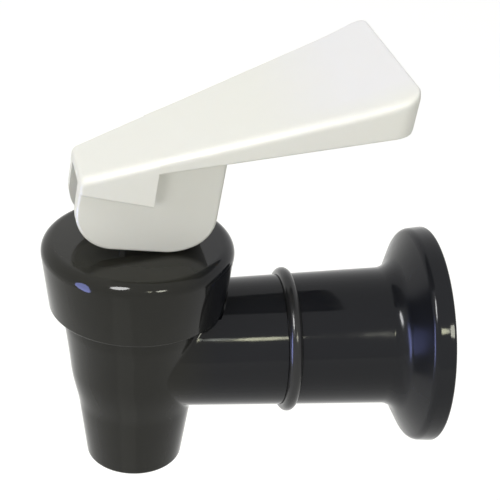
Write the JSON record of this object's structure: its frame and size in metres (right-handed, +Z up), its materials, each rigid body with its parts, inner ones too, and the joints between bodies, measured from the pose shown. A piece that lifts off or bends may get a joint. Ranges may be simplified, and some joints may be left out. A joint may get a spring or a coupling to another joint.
{
  "type": "beverage dispenser spigot",
  "caption": "Push-down dispenser spigot: flared wall flange and shank, tapered barrel and spout, screwed bonnet and a wide rocking lever.",
  "frame": {"origin": "centre of the flange's back face, on the shank's axis", "axes": "+X out of the flange towards the appliance, +Z up along the valve's stem, spout pointing down"},
  "size_m": [0.0697, 0.0392, 0.0764],
  "materials": {
    "black_plastic": "polished black moulding",
    "black_rubber": "satin black rubber",
    "silicone": "translucent grey silicone",
    "stem_plastic": "natural acetal",
    "steel": "stainless",
    "white_plastic": "satin warm white moulding"
  },
  "bodies": {
    "housing": {"body": "black_plastic", "shank_ring": "black_rubber", "inlet_washer": "black_rubber", "bonnet": "black_plastic", "seat_cup": "silicone", "return_spring": "steel"},
    "plunger": {"slip_washer": "stem_plastic"},
    "stem": {"stem": "stem_plastic"},
    "lever": {"lever": "white_plastic", "lever_pin": "steel"}
  },
  "joints": [
    {"name": "stem_lift", "type": "slide", "parent": "housing", "child": "plunger", "axis": [0, 0, 1], "range_m": [0, 0.00173], "deforming": ["return_spring", "seat_cup"]},
    {"name": "lever_swivel", "type": "hinge", "parent": "plunger", "child": "stem", "pos_m": [-0.0531, 0, 0.0215], "axis": [0, 0, 1], "continuous": true},
    {"name": "lever_tilt", "type": "hinge", "parent": "stem", "child": "lever", "pos_m": [-0.0531, 0, 0.03132], "axis": [-0.0541, 0.9985, 0], "range_deg": [0, 22], "stiffness_Nm_per_rad": 0.0468, "springref_deg": -63.6}
  ],
  "couplings": [
    {"joint": "stem_lift", "follows": "lever_tilt", "m_per_rad": 0.0045}
  ]
}
